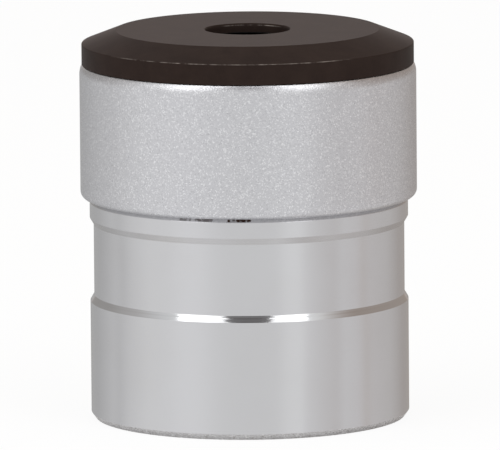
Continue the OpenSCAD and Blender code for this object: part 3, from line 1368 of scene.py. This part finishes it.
FINISHES: dict[Skin, Finish] = {
    # Chrome-plated brass, turned: even light grey, with bands of light drawn out along the axis, and shade
    # painted in the crease under the body's shoulder
    Skin.TURNED_CHROME: TurnedMetal(
        "turned_chrome_plate", "#ceced0", 0.22, 1.0, anisotropy=0.85, film_cover=0.06, crease_shade_z=(21.78, 22.12)
    ),
    # The same plate on a bevel cut with a polished tool: it mirrors the lamps
    Skin.BRIGHT_CHROME: TurnedMetal(
        "bright_turned_chrome_plate", "#d0d1d3", 0.11, 1.0,
        ring_pitch=0.22, ring_depth=0.013, film_cover=0.08,
    ),
    # The same plate on the bevel that faces down: a little rougher, and greyer as painted shade for the
    # shaded paper that it mirrors
    Skin.DULL_SHADED_CHROME: TurnedMetal("dull_shaded_turned_chrome_plate", "#c4c3c4", 0.26, 1.0, anisotropy=0.6),
    # The same plate on the foot's chamfer, which the parting tool tore: speckled, light and dark, with
    # painted glints in the brightest grains
    Skin.ROUGH_CHROME: BlastedMetal(
        "rough_turned_chrome_plate", "#cccbcc", 0.28, 1.0, grit=0.12, dimple_depth=0.006,
        pit="#b2b0af", pit_share=0.35, painted_glint="#e2e2e2", painted_glint_share=0.25,
    ),
    # Aluminium, bead-blasted and clear anodised: soft grey with a fine glitter, partly the dimples' relief
    # and partly glints painted in the grains' colour
    Skin.BLASTED_ALUMINIUM: BlastedMetal("bead_blasted_aluminium", "#cbcbce", 0.3, 1.0),
    # Bare aluminium in the sockets: turned rings, brighter than the blasted outside
    Skin.MACHINED_ALUMINIUM: TurnedMetal(
        "machined_aluminium", "#d2d2d4", 0.3, 1.0, ring_depth=0.002, anisotropy=0.5, film_cover=0.1
    ),
    # Aluminium anodised and dyed black: matt, brownish where it is dusty, bright where it is rubbed
    Skin.BLACK_ANODISED: DyedBlack(
        "black_anodised_aluminium", "#2b221f", 0.42,
        # The rim's edge and the eye hole's edge, where the bright line paints the highlight on the rim's
        # front and the hole's far side
        wear_and_highlight_at=((16.52, 37.53), (4.205, 38.69)),
    ),
    # Flat black paint on the inside walls, which swallows stray light
    Skin.MATT_BLACK: MattPaint("matt_black_paint", "#1c1b1b", 0.85),
    # Dense flint, polished and coated: clear, with a violet gleam
    Skin.FLINT_GLASS: OpticalGlass("coated_flint_glass", "#ffffff", 0.0, ior=FLINT_IOR, coating=COATING),
    # Crown, polished and coated: clear, with a violet gleam
    Skin.CROWN_GLASS: OpticalGlass("coated_crown_glass", "#ffffff", 0.0, ior=CROWN_IOR, coating=COATING),
    # Flint against cement: only the step from the crown's index to the flint's bends light
    Skin.FLINT_CEMENT: OpticalGlass("cemented_flint_face", "#ffffff", 0.0, ior=FLINT_IOR / CROWN_IOR),
    # Crown against cement of its own index: light goes straight through
    Skin.CROWN_CEMENT: OpticalGlass("cemented_crown_face", "#ffffff", 0.0, ior=1.0),
    # Ground glass inked black, which stops light in the lens's edge
    Skin.INKED_EDGE: MattPaint("inked_ground_glass", "#0b0b0c", 0.7),
}


def direction(azimuth: float, elevation: float) -> Vector:
    """Gives the direction from the object to a place in the studio.

    Args:
        azimuth: Degrees to the right of the camera, seen from above the object.
        elevation: Degrees above the horizon.

    Returns:
        Unit vector.
    """
    turn, rise = math.radians(azimuth), math.radians(elevation)
    return Vector((math.sin(turn) * math.cos(rise), -math.cos(turn) * math.cos(rise), math.sin(rise)))


@dataclass(frozen=True)
class Softbox:
    """Soft lamp that faces the object.

    Attributes:
        name: Its name.
        azimuth: Degrees to the right of the camera.
        elevation: Degrees above the horizon.
        width: Width in degrees, seen from the object.
        height: Height in degrees.
        glow: Brightness of its cloth, where white paper in the room has about 1.
        distance: Distance from the object in metres.
    """

    name: str
    azimuth: float
    elevation: float
    width: float
    height: float
    glow: float
    distance: float = 0.9

    def build(self) -> Object:
        """Hangs the lamp.

        Returns:
            The lamp.
        """
        lamp = bpy.data.lights.new(self.name, "AREA")
        lamp.shape = "RECTANGLE"
        lamp.size = 2 * self.distance * math.tan(math.radians(self.width / 2))
        lamp.size_y = 2 * self.distance * math.tan(math.radians(self.height / 2))
        lamp.energy = self.glow * math.pi * lamp.size * lamp.size_y
        holder = bpy.data.objects.new(self.name, lamp)
        bpy.context.scene.collection.objects.link(holder)
        towards = direction(self.azimuth, self.elevation)
        holder.location = towards * self.distance
        holder.rotation_euler = towards.to_track_quat("Z", "Y").to_euler()
        holder.visible_camera = False
        return holder


@dataclass(frozen=True)
class Card:
    """Glowing card at one side of the object; its tone paints the light and shade that the metal mirrors
    there.

    Attributes:
        azimuth: Degrees to the right of the camera.
        colour: sRGB colour.
    """

    azimuth: float
    colour: str


@dataclass
class Studio:
    """White paper table in a light tent, with softboxes, and glowing cards whose tones paint the light and
    shade that the metal mirrors.

    Attributes:
        lamps: The softboxes.
        table_glow_cards: Glowing cards that lie round the object, from the left of the back to the right of
            it; they light nothing, and paint the lit and shaded table that the metal mirrors, darkest behind.
        foot_cards: Cards that stand round the foot of the tent, in the same order.
        tent_cards: Cards that hang in the tent.
        foot_top: Sine of the elevation up to which only the foot's cards show.
        tent_low: Sine of the elevation from which only the tent's cards show.
        tent_r: Radius of the tent in metres.
        bare: Width of the bare paper round the object, in metres.
        card_lift: Height of the table's cards above the paper, in metres.
        around: Sides of the tent, and strips in the ring of cards on the table.
        paper: sRGB colour of the paper.
        paper_half: Half the width of the paper in metres.
        paper_glow: Share of plain white in the paper, as the eye and a mirror see it.
    """

    lamps: tuple[Softbox, ...] = (
        Softbox("left_softbox", -45, 44, 28, 56, 1.5),
        Softbox("right_softbox", 37, 44, 21, 56, 1.5),
        Softbox("back_softbox", 180, 80, 60, 34, 1.1),
    )
    table_glow_cards: tuple[Card, ...] = (
        Card(-180, "#aaaaa9"), Card(-145, "#c4c4c4"), Card(-120, "#e0e0e0"), Card(-111, "#dcdcdc"),
        Card(-100, "#ebebeb"), Card(-80, "#f6f6f6"), Card(-45, "#f6f6f7"), Card(-16, "#f0f0f0"),
        Card(18, "#f0f0f0"), Card(26, "#f6f6f6"), Card(36, "#f6f6f6"), Card(42, "#e9e8e8"),
        Card(65, "#e1dedd"), Card(72, "#ecebeb"), Card(86, "#e9e7e7"), Card(92, "#dfdad7"),
        Card(100, "#e2dfde"), Card(122, "#d8d5d3"), Card(145, "#bab4b0"), Card(180, "#a49e99"),
    )
    foot_cards: tuple[Card, ...] = (
        Card(-180, "#f2e5e1"), Card(-172, "#f2e5e1"), Card(-160, "#a5a29f"), Card(-130, "#aeaba8"),
        Card(-100, "#d0cecd"), Card(-80, "#f4f4f4"), Card(45, "#f4f4f4"), Card(63, "#dad7d5"),
        Card(90, "#c2b8b2"), Card(160, "#a89d94"), Card(172, "#f2e5e1"), Card(180, "#f2e5e1"),
    )
    tent_cards: tuple[Card, ...] = (
        Card(-180, "#aeaba8"), Card(-126, "#aeaba8"), Card(-102, "#c2bfbd"), Card(-80, "#e0e0e0"),
        Card(-66, "#f0f0f0"), Card(-24, "#524d4d"), Card(23, "#524d4d"), Card(53, "#ffffff"),
        Card(63, "#fdfcfb"), Card(72, "#e2dedb"), Card(83, "#beb4ad"), Card(95, "#a09185"),
        Card(180, "#a09185"),
    )
    foot_top: float = 0.1
    tent_low: float = 1.0
    tent_r: float = 2.0
    bare: float = 0.0002
    card_lift: float = 0.00002
    around: int = 120
    paper: str = "#fdfdfd"
    paper_half: float = 6.0
    paper_glow: float = 0.9

    def build(self) -> None:
        """Lays the paper and the cards, puts up the tent and hangs the lamps."""
        self.floor()
        self.cards()
        self.tent()
        self.room()
        for lamp in self.lamps:
            lamp.build()

    def tone(self, tree: NodeTree, share: NodeSocket, cards: tuple[Card, ...]) -> NodeSocket:
        """Gives the tone of a ring of cards in one direction.

        Args:
            tree: Nodes to add to.
            share: Share of a full turn from an azimuth of -180 degrees.
            cards: The ring, from that azimuth to one of 180 degrees.

        Returns:
            Colour of the ring there.
        """
        ring = add_node(tree, "ShaderNodeValToRGB", {"Fac": share})
        stops = ring.color_ramp.elements
        for card in cards[1:-1]:
            stops.new(card.azimuth / 360 + 0.5)
        for stop, card in zip(stops, cards):
            stop.color = linear(card.colour)
        return ring.outputs["Color"]

    def put_up(self, name: str, mesh: Mesh) -> tuple[Object, NodeTree]:
        """Puts up a piece of the studio in a material with no shader yet.

        Args:
            name: Name of the piece and of its material.
            mesh: Its mesh.

        Returns:
            The piece and its material's nodes.
        """
        piece = bpy.data.objects.new(name, mesh)
        bpy.context.scene.collection.objects.link(piece)
        material = bpy.data.materials.new(name)
        material.use_nodes = True
        material.cycles.emission_sampling = "NONE"
        material.node_tree.nodes.remove(material.node_tree.nodes["Principled BSDF"])
        mesh.materials.append(material)
        return piece, material.node_tree

    def floor(self) -> None:
        """Lays white paper that keeps the object's shadow and is clear from below."""
        half = self.paper_half
        mesh = bpy.data.meshes.new("white_paper")
        corners = [(-half, -half, 0), (half, -half, 0), (half, half, 0), (-half, half, 0)]
        mesh.from_pydata(corners, [], [range(4)])
        tree = self.put_up("white_paper", mesh)[1]
        path = add_node(tree, "ShaderNodeLightPath").outputs
        looks = add_node(
            tree, "ShaderNodeMath", operation="MAXIMUM",
            inputs={0: path["Is Camera Ray"], 1: path["Is Transmission Ray"]},
        ).outputs["Value"]
        place = add_node(tree, "ShaderNodeTexCoord").outputs["Object"]
        away = add_node(tree, "ShaderNodeVectorMath", {0: place}, operation="LENGTH").outputs["Value"]
        nose_r = Solid.of(NoseBarrel.NODE).radius * MM
        open_air, past_face = (
            add_node(tree, "ShaderNodeMath", {0: away, 1: r}, operation="GREATER_THAN").outputs["Value"]
            for r in (nose_r + self.bare, nose_r - NoseBarrel.foot_chamfer_w * MM)
        )
        # A mirror sees the dark under the foot's chamfer, the eye sees white paper up to the metal
        looked_at, mirrored = (
            add_node(tree, "ShaderNodeMath", {0: ray, 1: where}, operation="MULTIPLY").outputs["Value"]
            for ray, where in ((looks, past_face), (path["Is Glossy Ray"], open_air))
        )
        seen = add_node(
            tree, "ShaderNodeMath", {0: looked_at, 1: mirrored}, operation="MAXIMUM"
        ).outputs["Value"]
        share = add_node(
            tree, "ShaderNodeMath", {0: seen, 1: self.paper_glow}, operation="MULTIPLY"
        ).outputs["Value"]
        paper = add_node(tree, "ShaderNodeBsdfDiffuse", {"Color": linear(self.paper)}).outputs["BSDF"]
        white = add_node(tree, "ShaderNodeEmission").outputs["Emission"]
        top = add_node(tree, "ShaderNodeMixShader", {0: share, 1: paper, 2: white}).outputs["Shader"]
        clear = add_node(tree, "ShaderNodeBsdfTransparent").outputs["BSDF"]
        # Light comes up into the nose, but an eye that looks down into it sees the paper
        shut = add_node(
            tree, "ShaderNodeMath", {0: past_face, 1: looks}, operation="MAXIMUM"
        ).outputs["Value"]
        laid = add_node(tree, "ShaderNodeMixShader", {0: shut, 1: clear, 2: top}).outputs["Shader"]
        below = add_node(tree, "ShaderNodeNewGeometry").outputs["Backfacing"]
        look = add_node(tree, "ShaderNodeMixShader", {0: below, 1: laid, 2: clear}).outputs["Shader"]
        tree.links.new(look, tree.nodes["Material Output"].inputs["Surface"])

    def cards(self) -> None:
        """Lays the glowing cards on the paper, which paint the reflection of the table's light and shade;
        only the metal sees them.

        A card's edge starts at the nose, half its azimuth round, and runs out at its azimuth, so the nose
        mirrors the edge as a line along the axis. The first and the last card meet behind the nose.
        """
        mirror = Solid.of(NoseBarrel.NODE).radius * MM
        lift = Vector((0, 0, self.card_lift))
        shares = [i / self.around for i in range(self.around + 1)]
        edges = [(0.0, 0.0), *((share, mirror) for share in shares), (1.0, 0.0)]
        points = []
        for share, away in edges:
            azimuth = 360 * share - 180
            start = direction(azimuth / 2, 0) * away + lift
            points += [start + direction(azimuth, 0) * reach for reach in (self.bare, self.tent_r)]
        faces = [(2 * i, 2 * i + 1, 2 * i + 3, 2 * i + 2) for i in range(len(edges) - 1)]
        mesh = bpy.data.meshes.new("table_glow_cards")
        mesh.from_pydata(points, [], faces)
        round_at = mesh.uv_layers.new(name="round").data
        shares_at = [edges[at // 2][0] for face in faces for at in face]
        round_at.foreach_set("uv", [n for share in shares_at for n in (share, 0.0)])
        piece, tree = self.put_up("table_glow_cards", mesh)
        for ray in ("camera", "diffuse", "shadow", "transmission"):
            setattr(piece, f"visible_{ray}", False)
        turn = add_node(tree, "ShaderNodeTexCoord").outputs["UV"]
        share = add_node(tree, "ShaderNodeSeparateXYZ", {"Vector": turn}).outputs["X"]
        glow = add_node(tree, "ShaderNodeEmission", {"Color": self.tone(tree, share, self.table_glow_cards)})
        tree.links.new(glow.outputs["Emission"], tree.nodes["Material Output"].inputs["Surface"])

    def tent(self) -> None:
        """Puts up the tent, whose cloth the camera and the lenses look straight through."""
        shape = bmesh.new()
        bmesh.ops.create_uvsphere(
            shape, u_segments=self.around, v_segments=self.around // 2, radius=self.tent_r
        )
        mesh = bpy.data.meshes.new("light_tent")
        shape.to_mesh(mesh)
        shape.free()
        piece, tree = self.put_up("light_tent", mesh)
        piece.visible_camera = piece.visible_transmission = False
        place = add_node(tree, "ShaderNodeTexCoord").outputs["Object"]
        axes = add_node(tree, "ShaderNodeSeparateXYZ", {"Vector": place})
        share = add_node(
            tree, "ShaderNodeMapRange",
            {"Value": azimuth_of(tree, axes), "From Min": -math.pi, "From Max": math.pi},
        ).outputs["Result"]
        high = add_node(
            tree, "ShaderNodeMapRange", interpolation_type="SMOOTHSTEP",
            inputs={
                "Value": axes.outputs["Z"],
                "From Min": self.foot_top * self.tent_r,
                "From Max": self.tent_low * self.tent_r,
            },
        ).outputs["Result"]
        cloth = add_node(
            tree, "ShaderNodeMix", data_type="RGBA",
            inputs={
                0: high,
                6: self.tone(tree, share, self.foot_cards),
                7: self.tone(tree, share, self.tent_cards),
            },
        ).outputs[2]
        glow = add_node(tree, "ShaderNodeEmission", {"Color": cloth})
        tree.links.new(glow.outputs["Emission"], tree.nodes["Material Output"].inputs["Surface"])

    def room(self) -> None:
        """Makes the room round the tent plain white."""
        world = bpy.data.worlds.new("white_room")
        bpy.context.scene.world = world
        world.use_nodes = True
        world.node_tree.nodes["Background"].inputs["Color"].default_value = linear("#ffffff")


@dataclass(frozen=True)
class Viewpoint:
    """Camera at the photograph's viewing angle.

    Attributes:
        distance: Distance from the point it looks at, in millimetres.
        elevation: Degrees above the horizon.
        target: Point on the axis that is in the middle of the frame, in millimetres.
        roll: Degrees that the object leans to the left in the frame.
        lens: Focal length in millimetres.
        sensor: Width of the sensor in millimetres.
        clip: Nearest and furthest distance that it sees, in metres.
    """

    distance: float = 1255.0
    elevation: float = 8.59
    target: tuple[float, float, float] = (0.1, 0.0, 19.13)
    roll: float = 0.45
    lens: float = 905.9
    sensor: float = 36.0
    clip: tuple[float, float] = (0.05, 20.0)

    def build(self) -> Object:
        """Sets up the camera.

        Returns:
            The camera.
        """
        camera = bpy.data.cameras.new("camera")
        camera.lens, camera.sensor_width = self.lens, self.sensor
        camera.clip_start, camera.clip_end = self.clip
        holder = bpy.data.objects.new("camera", camera)
        bpy.context.scene.collection.objects.link(holder)
        back = direction(0, self.elevation)
        aim = (-back).to_track_quat("-Z", "Y").to_matrix().to_4x4()
        place = Matrix.Translation(Vector(self.target) * MM + back * self.distance * MM)
        holder.matrix_world = place @ aim @ Matrix.Rotation(math.radians(-self.roll), 4, "Z")
        bpy.context.scene.camera = holder
        return holder


def main() -> None:
    """Builds and dresses every part, then the studio and the camera."""
    logging.basicConfig(level=logging.INFO, format="%(name)s: %(message)s")
    materials = {skin: finish.build() for skin, finish in FINISHES.items()}
    parts: list[TurnedPart] = [
        NoseBarrel(), SatinBody(), EyeCap(), LensCell(),
        EyeFlint(), EyeCrown(), LensSpacer(), FieldCrown(), FieldFlint(),
        RetainingRing(), FieldStop(),
    ]
    for part in parts:
        piece = part.build(materials)
        LOG.info("%s: %d faces, rides on %s", piece.name, len(piece.data.polygons), part.BODY)
    Studio().build()
    Viewpoint().build()
    bpy.context.scene.view_settings.view_transform = "Standard"


if __name__ == "__main__":
    main()
